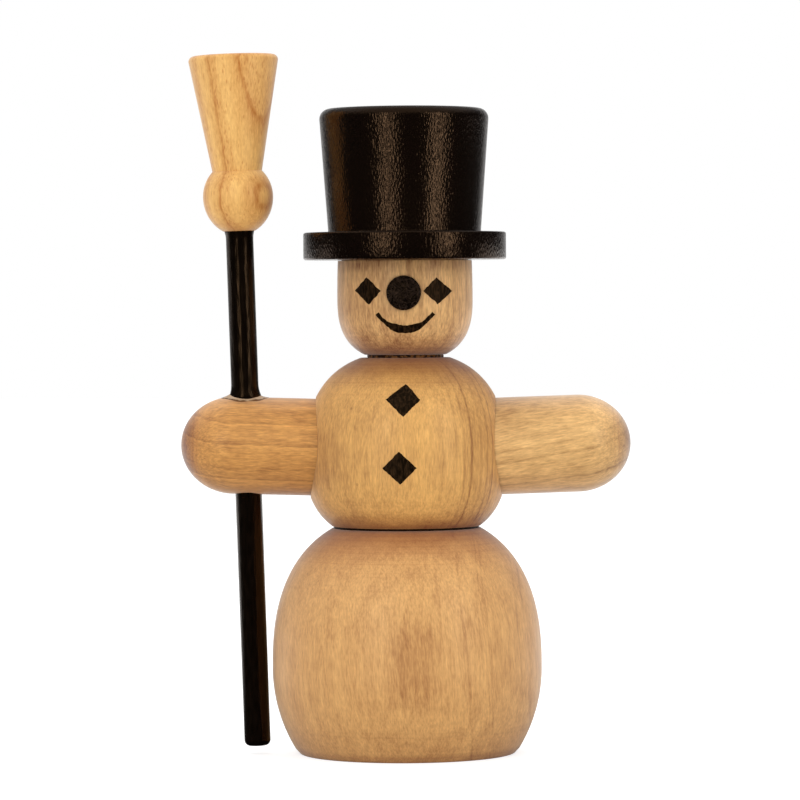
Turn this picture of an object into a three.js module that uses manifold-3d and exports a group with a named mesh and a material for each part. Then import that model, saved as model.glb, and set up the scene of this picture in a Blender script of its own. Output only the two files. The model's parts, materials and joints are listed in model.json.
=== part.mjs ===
// A turned wooden snowman with a top hat and a broom.
// Millimetres, +Z up. The origin is the middle of the base's underside, on the body's
// own axis, and the face looks along -Y. The broom is on the -X side.

import * as THREE from 'three';
import { mergeVertices } from 'three/addons/utils/BufferGeometryUtils.js';
import Module from 'manifold-3d';

const wasm = await Module();
wasm.setup();

// ---------------------------------------------------------------- driving sizes

// Base, the large lowest ball.
const baseDiameter = 50;
const baseHeight = 42;
const baseWidestHeight = 16;
const baseFootDiameter = 40.4;
const baseFootRounding = 0.5;

// Waist, the flat ring where torso and base meet.
const waistDiameter = 27.5;

// Torso, the middle ball.
const torsoDiameter = 37.5;
const torsoHeight = 31.75;
const torsoWidestHeight = 13;

// Neck, the flat ring where head and torso meet.
const neckDiameter = 14.2;

// Head, a ball with its top cut off under the hat.
const headDiameter = 25.1;
const headHeight = 17.75;
const headWidestHeight = 10.75;
const headTopDiameter = 24.85;

// Nose, a short peg with a domed end.
const noseDiameter = 6.3;
const noseBelowHat = 6.15;
const noseProud = 1.3;
const noseDome = 0.3;
const noseRim = 0.4;
const noseHoleDepth = 4.6;

// Hat, turned in one piece.
const brimDiameter = 37.6;
const brimThickness = 5.1;
const brimRounding = 0.4;
const crownBottomDiameter = 28.35;
const crownTopDiameter = 31.35;
const crownHeight = 22.9;
const crownRounding = 1.9;

// Arms, round rods with a domed end, which rise a little towards their tips.
const armDiameter = 18;
const armTipLength = 9.8;
const armHeight = 14.35;
const armRise = 1.7;
const armBeyondBroom = 12.2;
const socketLip = 0.9;

// Broom, a dowel stick through one arm, with a turned broom head on top.
const stickDiameter = 5;
const stickLean = 1.65;
const stickRounding = 1.1;
const stickAboveArm = 39.8;
const stickFloorGap = 1.45;
const stickBaseGap = 0.8;
const stickDowelWall = 2.5;
const broomHeadLength = 32.55;
const broomBoreDepth = 9.5;
const ballDiameter = 13;
const ballHeight = 11.1;
const ballWidestHeight = 6.35;
const ballMouthRim = 0.35;
const broomGrooveDiameter = 9.2;
const broomTopDiameter = 16.6;
const broomTopRounding = 1;

// Dowels hidden in the joints.
const waistDowelDiameter = 8;
const waistDowelLength = 20;
const neckDowelDiameter = 6;
const neckDowelLength = 12;
const hatDowelDiameter = 6;
const hatDowelLength = 12;
const shoulderDowelDiameter = 6;
const shoulderDowelLength = 14;
const dowelChamfer = 0.5;

// Clearances.
const glueGap = 0.1;
const turningGap = 0.3;
const boreEndGap = 0.5;

// How square each turned swelling is: 2 is an ellipse, more is fuller at its shoulders.
const baseLowerFullness = 2;
const baseUpperFullness = 2.45;
const torsoLowerFullness = 2.6;
const torsoUpperFullness = 2.45;
const headLowerFullness = 2.67;
const headUpperFullness = 2;
const ballFullness = 2;
const domeFullness = 2;

// Facets: around a large turned piece, around a small one, and along a curve.
const largeFacets = 48;
const smallFacets = 32;
const dowelFacets = 16;
const swellSteps = 8;
const roundSteps = 3;

// ---------------------------------------------------------------- sizes that follow

const baseRadius = baseDiameter / 2;
const armRadius = armDiameter / 2;
const stickRadius = stickDiameter / 2;
const armRiseAngle = THREE.MathUtils.degToRad(armRise);
const stickLeanAngle = THREE.MathUtils.degToRad(stickLean);

const torsoBottom = baseHeight;
const headBottom = torsoBottom + torsoHeight;
const hatBottom = headBottom + headHeight;
const armAxisHeight = torsoBottom + armHeight;

// Each arm starts in its socket, and its dowel ends inside it.
const socketRadius = armRadius + turningGap;
const socketFloor = Math.sqrt((torsoDiameter / 2) ** 2 - armRadius ** 2) - socketLip;
const armStart = socketFloor + turningGap;
const armBoreEnd = armStart + shoulderDowelLength / 2 + boreEndGap;

// The stick passes the base's widest ring with its gap, and leans away from it upwards.
// It also passes the arm's dowel, with some wood between the two.
const stickAtWidest = baseRadius + stickBaseGap + stickRadius / Math.cos(stickLeanAngle);
const leanToArm = (armAxisHeight - baseWidestHeight) * Math.tan(stickLeanAngle);
const spread = 1 - Math.tan(armRiseAngle) * Math.tan(stickLeanAngle);
const clearOfBase = (stickAtWidest + leanToArm) / spread;
const clearOfDowel = armBoreEnd + stickDowelWall + stickRadius;
const broomDistance = Math.max(clearOfBase, clearOfDowel);
const broomCrossing = broomDistance * Math.tan(armRiseAngle) + armAxisHeight;
const stickBelowArm = (broomCrossing - stickFloorGap) / Math.cos(stickLeanAngle);

// Both arms reach equally far along their own axes.
const armReach = (broomDistance + armBeyondBroom) / Math.cos(armRiseAngle);

const noseHeight = headHeight - noseBelowHat;

// ---------------------------------------------------------------- outlines

const point = (radius, height) => new THREE.Vector2(radius, height);

// A turned swelling from its widest ring to the ring where it stops, which may be above
// or below. It is a superellipse, so it passes through both rings whatever its fullness.
function swelling(widest, stop, fullness) {
  const stopRatio = (stop.x / widest.x) ** fullness;
  const reach = (stop.y - widest.y) / (1 - stopRatio) ** (1 / fullness);
  const stopAngle = Math.acos(Math.sqrt(stopRatio));
  const outline = [];
  for (let step = 0; step < swellSteps; step += 1) {
    const angle = (stopAngle * step) / swellSteps;
    const radius = widest.x * Math.cos(angle) ** (2 / fullness);
    const height = widest.y + reach * Math.sin(angle) ** (2 / fullness);
    outline.push(point(radius, height));
  }
  outline.push(stop);
  return outline;
}

// A quarter round about a centre, between two angles measured from the radius upwards.
function quarterRound(centre, radius, fromAngle, toAngle) {
  const outline = [];
  for (let step = 0; step <= roundSteps; step += 1) {
    const angle = fromAngle + ((toAngle - fromAngle) * step) / roundSteps;
    outline.push(point(centre.x + radius * Math.cos(angle), centre.y + radius * Math.sin(angle)));
  }
  return outline;
}

// A blind bore down from a top face at the given height, ending on the axis.
function boreFromTop(diameter, dowelLength, height) {
  const radius = diameter / 2 + glueGap;
  const floor = height - dowelLength / 2 - boreEndGap;
  return [point(radius, height), point(radius, floor), point(0, floor)];
}

// A blind bore up from an underside at height 0, starting on the axis.
function boreFromBelow(diameter, depth) {
  const radius = diameter / 2 + glueGap;
  return [point(0, depth), point(radius, depth), point(radius, 0)];
}

const down = -Math.PI / 2;
const up = Math.PI / 2;

// ---------------------------------------------------------------- solids

// Spins an outline, given from the bottom up, about +Z.
function turned(outline, facets) {
  const geometry = new THREE.LatheGeometry(outline, facets);
  geometry.rotateX(Math.PI / 2);
  return geometry;
}

function toSolid(geometry) {
  const bare = geometry.clone();
  bare.deleteAttribute('normal');
  bare.deleteAttribute('uv');
  const merged = mergeVertices(bare);
  const corners = merged.index.array;
  const triangles = [];
  for (let first = 0; first < corners.length; first += 3) {
    const [a, b, c] = corners.slice(first, first + 3);
    if (a !== b && b !== c && c !== a) triangles.push(a, b, c);
  }
  return new wasm.Manifold(new wasm.Mesh({
    numProp: 3,
    vertProperties: merged.attributes.position.array,
    triVerts: new Uint32Array(triangles),
  }));
}

function toGeometry(solid) {
  const mesh = solid.getMesh();
  const geometry = new THREE.BufferGeometry();
  geometry.setAttribute('position', new THREE.BufferAttribute(mesh.vertProperties, 3));
  geometry.setIndex(new THREE.BufferAttribute(mesh.triVerts, 1));
  geometry.computeVertexNormals();
  return geometry;
}

// The piece's geometry less each cutter's.
function cut(geometry, ...cutters) {
  let solid = toSolid(geometry);
  for (const cutter of cutters) solid = solid.subtract(toSolid(cutter));
  return toGeometry(solid);
}

// A round cutter along +Z between two heights.
function drill(radius, from, to, facets) {
  return turned([point(0, from), point(radius, from), point(radius, to), point(0, to)], facets);
}

// ---------------------------------------------------------------- places

// Turns +Z onto an arm's axis: side is 1 for +X and -1 for -X.
const armTurn = (side) => side * (Math.PI / 2 - armRiseAngle);

// The hole for the nose points straight forward from the head's axis.
const noseTurn = Math.PI / 2;

// ---------------------------------------------------------------- body pieces

function baseGeometry() {
  const foot = point(baseFootDiameter / 2, 0);
  const widest = point(baseRadius, baseWidestHeight);
  const waist = point(waistDiameter / 2, baseHeight);
  const lower = swelling(widest, foot, baseLowerFullness).reverse();
  const upper = swelling(widest, waist, baseUpperFullness);
  const rounded = quarterRound(
    point(foot.x - baseFootRounding, baseFootRounding),
    baseFootRounding,
    down,
    down / roundSteps,
  );
  const flank = lower.filter((each) => each.y > baseFootRounding);
  const bore = boreFromTop(waistDowelDiameter, waistDowelLength, baseHeight);
  return turned([point(0, 0), ...rounded, ...flank, ...upper.slice(1), ...bore], largeFacets);
}

function torsoGeometry() {
  const waist = point(waistDiameter / 2, 0);
  const widest = point(torsoDiameter / 2, torsoWidestHeight);
  const neck = point(neckDiameter / 2, torsoHeight);
  const outline = [
    ...boreFromBelow(waistDowelDiameter, waistDowelLength / 2 + boreEndGap),
    ...swelling(widest, waist, torsoLowerFullness).reverse(),
    ...swelling(widest, neck, torsoUpperFullness).slice(1),
    ...boreFromTop(neckDowelDiameter, neckDowelLength, torsoHeight),
  ];
  const cutters = [];
  for (const side of [-1, 1]) {
    const socket = drill(socketRadius, socketFloor, torsoDiameter, smallFacets);
    const boreRadius = shoulderDowelDiameter / 2 + turningGap;
    const boreFloor = socketFloor - shoulderDowelLength / 2 - boreEndGap;
    const bore = drill(boreRadius, boreFloor, torsoDiameter, dowelFacets);
    for (const cutter of [socket, bore]) {
      cutter.rotateY(armTurn(side));
      cutter.translate(0, 0, armHeight);
      cutters.push(cutter);
    }
  }
  return cut(turned(outline, largeFacets), ...cutters);
}

function headGeometry() {
  const neck = point(neckDiameter / 2, 0);
  const widest = point(headDiameter / 2, headWidestHeight);
  const top = point(headTopDiameter / 2, headHeight);
  const outline = [
    ...boreFromBelow(neckDowelDiameter, neckDowelLength / 2 + boreEndGap),
    ...swelling(widest, neck, headLowerFullness).reverse(),
    ...swelling(widest, top, headUpperFullness).slice(1),
    ...boreFromTop(hatDowelDiameter, hatDowelLength, headHeight),
  ];
  const floor = headDiameter / 2 - noseHoleDepth;
  const noseHole = drill(noseDiameter / 2 + glueGap, floor, headDiameter, smallFacets);
  noseHole.rotateX(noseTurn);
  noseHole.translate(0, 0, noseHeight);
  return cut(turned(outline, largeFacets), noseHole);
}

function hatGeometry() {
  const brimRadius = brimDiameter / 2;
  const crownTop = brimThickness + crownHeight;
  const brimEdge = brimRadius - brimRounding;
  const crownEdge = point(crownTopDiameter / 2 - crownRounding, crownTop - crownRounding);
  return turned([
    ...boreFromBelow(hatDowelDiameter, hatDowelLength / 2 + boreEndGap),
    ...quarterRound(point(brimEdge, brimRounding), brimRounding, down, 0),
    ...quarterRound(point(brimEdge, brimThickness - brimRounding), brimRounding, 0, up),
    point(crownBottomDiameter / 2, brimThickness),
    ...quarterRound(crownEdge, crownRounding, 0, up),
    point(0, crownTop),
  ], largeFacets);
}

// The peg lies on +Z, with its inner end at height 0.
function noseGeometry() {
  const radius = noseDiameter / 2;
  const length = noseHoleDepth - boreEndGap + noseProud;
  return turned([
    point(0, 0),
    point(radius, 0),
    ...quarterRound(point(radius - noseRim, length - noseRim - noseDome), noseRim, 0, up),
    point(radius / 2, length - noseDome / 4),
    point(0, length),
  ], smallFacets);
}

// ---------------------------------------------------------------- arms and broom

// The arm lies on +Z from its flat end at armStart to its tip at armReach.
function armOutline() {
  const boreRadius = shoulderDowelDiameter / 2 + glueGap;
  const domeStart = point(armRadius, armReach - armTipLength);
  return [
    point(0, armBoreEnd),
    point(boreRadius, armBoreEnd),
    point(boreRadius, armStart),
    point(armRadius, armStart),
    ...swelling(domeStart, point(0, armReach), domeFullness),
  ];
}

function broomArmGeometry() {
  const hole = drill(stickRadius + glueGap, -armDiameter, armDiameter, dowelFacets);
  hole.rotateY(-stickLeanAngle - armTurn(-1));
  hole.translate(0, 0, broomDistance / Math.cos(armRiseAngle));
  return cut(turned(armOutline(), smallFacets), hole);
}

// The stick lies on +Z, and height 0 is where it crosses the arm's axis.
function stickGeometry() {
  const bottom = -stickBelowArm;
  const top = stickAboveArm + broomBoreDepth - boreEndGap;
  const edge = stickRadius - stickRounding;
  return turned([
    point(0, bottom),
    ...quarterRound(point(edge, bottom + stickRounding), stickRounding, down, 0),
    point(stickRadius, top),
    point(0, top),
  ], dowelFacets);
}

// The broom head stands on +Z, with the stick's bore open at height 0.
function broomHeadGeometry() {
  const widest = point(ballDiameter / 2, ballWidestHeight);
  const groove = point(broomGrooveDiameter / 2, ballHeight);
  const topEdge = point(broomTopDiameter / 2 - broomTopRounding, broomHeadLength - broomTopRounding);
  const boreRadius = stickRadius + glueGap;
  const mouth = point(boreRadius + ballMouthRim, 0);
  return turned([
    point(0, broomBoreDepth),
    point(boreRadius, broomBoreDepth),
    point(boreRadius, 0),
    ...swelling(widest, mouth, ballFullness).reverse(),
    ...swelling(widest, groove, ballFullness).slice(1),
    ...quarterRound(topEdge, broomTopRounding, 0, up),
    point(0, broomHeadLength),
  ], smallFacets);
}

// A dowel on +Z, its middle at height 0, with both ends chamfered.
function dowelGeometry(diameter, length) {
  const radius = diameter / 2;
  const half = length / 2;
  return turned([
    point(0, -half),
    point(radius - dowelChamfer, -half),
    point(radius, dowelChamfer - half),
    point(radius, half - dowelChamfer),
    point(radius - dowelChamfer, half),
    point(0, half),
  ], dowelFacets);
}

// ---------------------------------------------------------------- finishes

const wood = (color) => new THREE.MeshStandardMaterial({ color, roughness: 0.5, metalness: 0 });
const lacquer = (color) => new THREE.MeshStandardMaterial({ color, roughness: 0.3, metalness: 0 });

// ---------------------------------------------------------------- assembly

const snowman = new THREE.Group();

// Adds a named piece to a group, at a height on that group's +Z axis.
function addPiece(group, name, geometry, material, height) {
  const mesh = new THREE.Mesh(geometry, material);
  mesh.name = name;
  mesh.position.z = height;
  group.add(mesh);
}

const waistDowel = dowelGeometry(waistDowelDiameter, waistDowelLength);
const neckDowel = dowelGeometry(neckDowelDiameter, neckDowelLength);
const hatDowel = dowelGeometry(hatDowelDiameter, hatDowelLength);
addPiece(snowman, 'base', baseGeometry(), wood('#cf9d66'), 0);
addPiece(snowman, 'waist_dowel', waistDowel, wood('#c9a077'), torsoBottom);
addPiece(snowman, 'torso', torsoGeometry(), wood('#d39d5e'), torsoBottom);
addPiece(snowman, 'neck_dowel', neckDowel, wood('#c9a077'), headBottom);
addPiece(snowman, 'head', headGeometry(), wood('#c4925f'), headBottom);
addPiece(snowman, 'hat_dowel', hatDowel, wood('#c9a077'), hatBottom);
addPiece(snowman, 'hat', hatGeometry(), lacquer('#1a120d'), hatBottom);

const nose = new THREE.Group();
nose.position.z = headBottom + noseHeight;
nose.rotation.x = noseTurn;
snowman.add(nose);
const noseStart = headDiameter / 2 - noseHoleDepth + boreEndGap;
addPiece(nose, 'nose_peg', noseGeometry(), lacquer('#1d120d'), noseStart);

// Each arm's group has +Z along that arm's axis, from the body's axis outwards.
function addArm(side, name, geometry, material) {
  const arm = new THREE.Group();
  arm.position.z = armAxisHeight;
  arm.rotation.y = armTurn(side);
  snowman.add(arm);
  const dowel = dowelGeometry(shoulderDowelDiameter, shoulderDowelLength);
  addPiece(arm, name, geometry, material, 0);
  addPiece(arm, `${name}_dowel`, dowel, wood('#c9a077'), armStart);
}

addArm(-1, 'broom_arm', broomArmGeometry(), wood('#cd9250'));
addArm(1, 'free_arm', turned(armOutline(), smallFacets), wood('#dcae74'));

const broom = new THREE.Group();
broom.position.set(-broomDistance, 0, broomCrossing);
broom.rotation.y = -stickLeanAngle;
snowman.add(broom);
addPiece(broom, 'broom_stick', stickGeometry(), lacquer('#1b1109'), 0);
addPiece(broom, 'broom_head', broomHeadGeometry(), wood('#e4ac66'), stickAboveArm);

export default snowman;
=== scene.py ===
import json
import math

import bmesh
import bpy
from mathutils import Matrix, Vector, noise
from mathutils.geometry import intersect_line_line


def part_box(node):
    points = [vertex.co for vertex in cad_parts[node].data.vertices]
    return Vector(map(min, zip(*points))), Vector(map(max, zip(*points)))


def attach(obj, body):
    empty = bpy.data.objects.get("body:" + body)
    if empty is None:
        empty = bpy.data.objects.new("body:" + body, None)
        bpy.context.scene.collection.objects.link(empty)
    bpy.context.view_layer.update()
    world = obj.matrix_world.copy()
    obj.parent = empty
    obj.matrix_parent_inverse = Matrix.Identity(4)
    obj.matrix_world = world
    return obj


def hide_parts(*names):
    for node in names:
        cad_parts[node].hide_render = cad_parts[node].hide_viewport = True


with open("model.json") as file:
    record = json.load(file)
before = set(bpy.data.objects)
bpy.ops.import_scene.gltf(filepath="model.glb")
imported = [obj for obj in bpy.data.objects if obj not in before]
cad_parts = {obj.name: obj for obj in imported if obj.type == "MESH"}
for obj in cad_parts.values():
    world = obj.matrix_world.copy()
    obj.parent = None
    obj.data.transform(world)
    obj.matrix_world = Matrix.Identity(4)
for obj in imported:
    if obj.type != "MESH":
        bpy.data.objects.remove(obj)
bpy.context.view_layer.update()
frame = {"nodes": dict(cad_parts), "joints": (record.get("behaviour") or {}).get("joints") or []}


# ------------------------------------------------------------------ base
# The large lowest ball: a block of alder turned between centres with its grain upright, cut
# flat underneath to stand on and flat on top to carry the torso. It is sanded on the lathe
# and wiped with a thin satin lacquer. The torso is pegged and glued to it.

MM = 0.001
UP = Vector((0, 0, 1))

base_low, base_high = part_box("base")
base_radius = (base_high.x - base_low.x) / 2
base_top = base_high.z
base_widest = 16 * MM
base_fullness_below = 2.0
base_fullness_above = 2.45
foot_radius = 20.2 * MM
foot_rounding = 0.5 * MM
waist_radius = 13.75 * MM
waist_step = 0.2 * MM
waist_inset = 1.0 * MM
ball_facets = 192
real_edge = math.radians(35)


def swelling(widest, stop, fullness, steps=28):
    """Outline of a turned swelling from its widest ring to the ring where it stops.

    It is a quarter of a superellipse: a fullness of 2 is an ellipse, more is squarer.
    """
    stop_ratio = (stop[0] / widest[0]) ** fullness
    reach = (stop[1] - widest[1]) / (1 - stop_ratio) ** (1 / fullness)
    stop_angle = math.acos(math.sqrt(stop_ratio))
    outline = []
    for step in range(steps):
        angle = stop_angle * step / steps
        radius = widest[0] * math.cos(angle) ** (2 / fullness)
        height = widest[1] + reach * math.sin(angle) ** (2 / fullness)
        outline.append((radius, height))
    return [*outline, stop]


def rounding(radius, height, size, start, end, steps=6):
    """Outline of a rounded edge about its own centre, from one angle in degrees to another."""
    outline = []
    for step in range(steps + 1):
        angle = math.radians(start + (end - start) * step / steps)
        outline.append((radius + size * math.cos(angle), height + size * math.sin(angle)))
    return outline


def turned(outline, facets):
    """Spins an outline of radii and heights about +Z, as a lathe does, into a closed solid."""
    mesh = bmesh.new()
    corners = [mesh.verts.new((radius, 0, height)) for radius, height in outline]
    edges = [mesh.edges.new(pair) for pair in zip(corners, corners[1:])]
    bmesh.ops.spin(
        mesh, geom=corners + edges, axis=UP, cent=(0, 0, 0),
        angle=math.tau, steps=facets, use_merge=True,
    )
    bmesh.ops.remove_doubles(mesh, verts=mesh.verts, dist=0.002 * MM)
    bmesh.ops.recalc_face_normals(mesh, faces=mesh.faces)
    return mesh


def finish_piece(mesh, name, material, body, node=None):
    """Makes the object, smooth except at its real edges, and ties it to the frame."""
    data = bpy.data.meshes.new(name)
    mesh.to_mesh(data)
    mesh.free()
    data.shade_smooth()
    data.set_sharp_from_angle(angle=real_edge)
    data.materials.append(material)
    piece = bpy.data.objects.new(name, data)
    bpy.context.scene.collection.objects.link(piece)
    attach(piece, body)
    if node:
        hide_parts(node)
    return piece


def linear(code):
    """An sRGB hex colour as linear RGBA."""
    parts = [int(code[place:place + 2], 16) / 255 for place in (1, 3, 5)]
    curved = [
        part / 12.92 if part <= 0.04045 else ((part + 0.055) / 1.055) ** 2.4 for part in parts
    ]
    return (*curved, 1)


def add_node(tree, kind, inputs=None, **settings):
    """Adds a node with its settings, and sets or links each input that is given.

    Inputs go by name, or by place where names repeat: in a Mix node 0 is the factor, 2 and 3
    are its two numbers, and 6 and 7 its two colours.
    """
    node = tree.nodes.new(kind)
    for name, value in settings.items():
        setattr(node, name, value)
    for name, value in (inputs or {}).items():
        if isinstance(value, bpy.types.NodeSocket):
            tree.links.new(value, node.inputs[name])
        else:
            node.inputs[name].default_value = value
    return node


def new_material(name):
    """A new material, with its node tree and its shader."""
    material = bpy.data.materials.new(name)
    material.use_nodes = True
    tree = material.node_tree
    return material, tree, tree.nodes["Principled BSDF"]


def per_mm(across, along):
    """Scale of a pattern whose features are so many millimetres across and along the grain."""
    return (1 / across, 1 / across, 1 / along)


def fill_ramp(node, reach, stops):
    """Puts stops of millimetres, darkness and openness on a ramp from -reach to reach."""
    elements = node.color_ramp.elements
    for place, dark, opened in stops:
        stop = elements.new(min(max((place + reach) / (2 * reach), 0), 1))
        stop.color = (dark, opened, 0, 1)
    elements.remove(elements[0])
    elements.remove(elements[-1])


def turned_wood(
    name, early, late, end, centre, out, years, reach, grain=UP, axis=UP, pith=70, wander=1.4,
    rays=((-1, 0, 0), (1, 0, 0)), cuts_and_shade=((-1, 0, 0), (1, 0, 0)), flecks=(), fibre=0.2, cloud=0.07,
    pores=0.15, marks=0.3, sheen=0.4, roughness=0.46, seed=0.0,
):
    """Wood turned on a lathe, sanded, and wiped with a thin satin lacquer.

    Its growth rings are wide cylinders about the pith, pith mm behind the piece, or in front
    of it if that is negative. years lists them as millimetres from the centre towards out,
    darkness, and openness of the pores, so one ring shows as nested ovals on one face and as
    close dark lines on its flanks. rays lists the darker streaks that run the other way,
    cuts_and_shade the lathe's own lines as millimetres along the axis, and with them broad
    bands of painted shade where a piece lies under or against another, and flecks small dark
    marks by their place and size in millimetres. Fibres are fine and long, and end grain takes
    more finish and is darker; on the balls its colour is darker still, as painted shade on
    their tops and bottoms.
    """
    material, tree, shader = new_material(name)
    place = add_node(tree, "ShaderNodeTexCoord")

    # Millimetres in the log: X towards the bark, Z along the grain.
    grain = grain.normalized()
    out = (out - grain * out.dot(grain)).normalized()
    turn = Matrix((out, grain.cross(out), grain))
    log = add_node(tree, "ShaderNodeMapping", {
        "Vector": place.outputs["Object"],
        "Location": turn @ (-centre / MM),
        "Rotation": turn.to_euler(),
        "Scale": (1 / MM, 1 / MM, 1 / MM),
    }).outputs[0]

    # No trunk is quite round or straight, and each line in it is a little ragged.
    slow = add_node(tree, "ShaderNodeVectorMath", {
        0: log, 1: per_mm(17, 34), 2: (seed, seed, seed),
    }, operation="MULTIPLY_ADD")
    bend = add_node(tree, "ShaderNodeTexNoise", {
        "Vector": slow.outputs[0], "Scale": 1.0, "Detail": 2.0,
    })
    bend_mm = add_node(tree, "ShaderNodeVectorMath", {
        0: bend.outputs["Color"], 1: (wander * 2,) * 3, 2: (-wander,) * 3,
    }, operation="MULTIPLY_ADD")
    quick = add_node(tree, "ShaderNodeVectorMath", {
        0: log, 1: per_mm(0.9, 7),
    }, operation="MULTIPLY")
    ragged = add_node(tree, "ShaderNodeTexNoise", {
        "Vector": quick.outputs[0], "Scale": 1.0, "Detail": 3.0,
    })
    ragged_mm = add_node(tree, "ShaderNodeVectorMath", {
        0: ragged.outputs["Color"], 1: (0.6, 0.6, 0), 2: (-0.3, -0.3, 0),
    }, operation="MULTIPLY_ADD")
    bent = add_node(tree, "ShaderNodeVectorMath", {
        0: bend_mm.outputs[0], 1: ragged_mm.outputs[0],
    }, operation="ADD")
    grown = add_node(tree, "ShaderNodeVectorMath", {0: log, 1: bent.outputs[0]}, operation="ADD")

    # How far out the ring is, and so in which year the wood grew.
    from_pith = add_node(tree, "ShaderNodeVectorMath", {
        0: grown.outputs[0], 1: (1, 1, 0), 2: (pith, 0, 0),
    }, operation="MULTIPLY_ADD")
    distance = add_node(tree, "ShaderNodeVectorMath", {0: from_pith.outputs[0]}, operation="LENGTH")
    bark_side = math.copysign(1, pith)
    year = add_node(tree, "ShaderNodeMapRange", {
        "Value": distance.outputs["Value"],
        "From Min": abs(pith) - bark_side * reach, "From Max": abs(pith) + bark_side * reach,
    })
    rings = add_node(tree, "ShaderNodeValToRGB", {"Fac": year.outputs[0]})
    fill_ramp(rings, reach, years)
    ring = add_node(tree, "ShaderNodeSeparateColor", {"Color": rings.outputs[0]})

    # Streaks that stand across the rings, broken up along their length.
    sides = add_node(tree, "ShaderNodeSeparateXYZ", {"Vector": grown.outputs[0]})
    ray_place = add_node(tree, "ShaderNodeMapRange", {
        "Value": sides.outputs["Y"], "From Min": -reach, "From Max": reach,
    })
    ray_ramp = add_node(tree, "ShaderNodeValToRGB", {"Fac": ray_place.outputs[0]})
    fill_ramp(ray_ramp, reach, rays)
    streaks = add_node(tree, "ShaderNodeSeparateColor", {"Color": ray_ramp.outputs[0]})
    broken_place = add_node(tree, "ShaderNodeVectorMath", {
        0: log, 1: per_mm(3.5, 11),
    }, operation="MULTIPLY")
    broken = add_node(tree, "ShaderNodeTexNoise", {
        "Vector": broken_place.outputs[0], "Scale": 1.0, "Detail": 2.0,
    })
    unbroken = add_node(tree, "ShaderNodeMapRange", {
        "Value": broken.outputs["Fac"], "From Min": 0.38, "From Max": 0.56, "To Min": 0.15,
    })
    streak = add_node(tree, "ShaderNodeMath", {
        0: streaks.outputs["Red"], 1: unbroken.outputs[0], 2: ring.outputs["Red"],
    }, operation="MULTIPLY_ADD")

    # Lines of the lathe and patches of end grain that lie at known heights on its axis, and
    # broad bands of painted shade near a piece's ends, where it lies under or against another.
    lathe = add_node(tree, "ShaderNodeVectorMath", {
        0: place.outputs["Object"], 1: axis.normalized() / MM,
    }, operation="DOT_PRODUCT")
    middle = axis.normalized().dot(centre) / MM
    turn_place = add_node(tree, "ShaderNodeMapRange", {
        "Value": lathe.outputs["Value"], "From Min": middle - reach, "From Max": middle + reach,
    })
    turn_ramp = add_node(tree, "ShaderNodeValToRGB", {"Fac": turn_place.outputs[0]})
    fill_ramp(turn_ramp, reach, cuts_and_shade)
    lathe_lines_and_shade = add_node(tree, "ShaderNodeSeparateColor", {"Color": turn_ramp.outputs[0]})
    patch_place = add_node(tree, "ShaderNodeVectorMath", {
        0: log, 1: per_mm(6, 2),
    }, operation="MULTIPLY")
    patches = add_node(tree, "ShaderNodeTexNoise", {"Vector": patch_place.outputs[0], "Scale": 1.0})
    patchy = add_node(tree, "ShaderNodeMapRange", {
        "Value": patches.outputs["Fac"], "From Min": 0.35, "From Max": 0.65,
        "To Min": 0.5, "To Max": 1.3,
    })
    dark = add_node(tree, "ShaderNodeMath", {
        0: lathe_lines_and_shade.outputs["Red"], 1: patchy.outputs[0], 2: streak.outputs[0],
    }, operation="MULTIPLY_ADD", use_clamp=True)
    for spot, size in flecks:
        away = add_node(tree, "ShaderNodeVectorMath", {
            0: place.outputs["Object"], 1: Vector(spot) * MM,
        }, operation="DISTANCE")
        near = add_node(tree, "ShaderNodeMapRange", {
            "Value": away.outputs["Value"], "From Min": size * MM, "From Max": size * 0.5 * MM,
            "To Max": 0.45,
        })
        dark = add_node(tree, "ShaderNodeMath", {
            0: near.outputs[0], 1: dark.outputs[0],
        }, operation="MAXIMUM")

    # Fibres, bundles of them, and a cloudiness that the lacquer brings out. Real fibres are
    # finer than 0.1 mm and wouldn't show, so they are drawn 0.28 mm wide.
    fine_place = add_node(tree, "ShaderNodeVectorMath", {
        0: log, 1: per_mm(0.28, 1.9),
    }, operation="MULTIPLY")
    fine = add_node(tree, "ShaderNodeTexNoise", {
        "Vector": fine_place.outputs[0], "Scale": 1.0, "Detail": 3.0, "Roughness": 0.6,
    })
    bundle_place = add_node(tree, "ShaderNodeVectorMath", {
        0: log, 1: per_mm(0.9, 12),
    }, operation="MULTIPLY")
    bundle = add_node(tree, "ShaderNodeTexNoise", {
        "Vector": bundle_place.outputs[0], "Scale": 1.0, "Detail": 3.0, "Roughness": 0.6,
    })
    cloud_place = add_node(tree, "ShaderNodeVectorMath", {
        0: log, 1: per_mm(3.2, 5),
    }, operation="MULTIPLY")
    clouds = add_node(tree, "ShaderNodeTexNoise", {
        "Vector": cloud_place.outputs[0], "Scale": 1.0, "Detail": 3.0, "Roughness": 0.55,
    })
    fine_dark = add_node(tree, "ShaderNodeMapRange", {
        "Value": fine.outputs["Fac"], "From Min": 0.3, "From Max": 0.7,
        "To Min": -fibre, "To Max": fibre,
    })
    bundle_dark = add_node(tree, "ShaderNodeMapRange", {
        "Value": bundle.outputs["Fac"], "From Min": 0.3, "From Max": 0.7,
        "To Min": -fibre * 0.6, "To Max": fibre * 0.6,
    })
    cloud_dark = add_node(tree, "ShaderNodeMapRange", {
        "Value": clouds.outputs["Fac"], "From Min": 0.3, "From Max": 0.7,
        "To Min": -cloud, "To Max": cloud,
    })
    for tone in (fine_dark, bundle_dark, cloud_dark):
        dark = add_node(tree, "ShaderNodeMath", {
            0: tone.outputs[0], 1: dark.outputs[0],
        }, operation="ADD")

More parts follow.
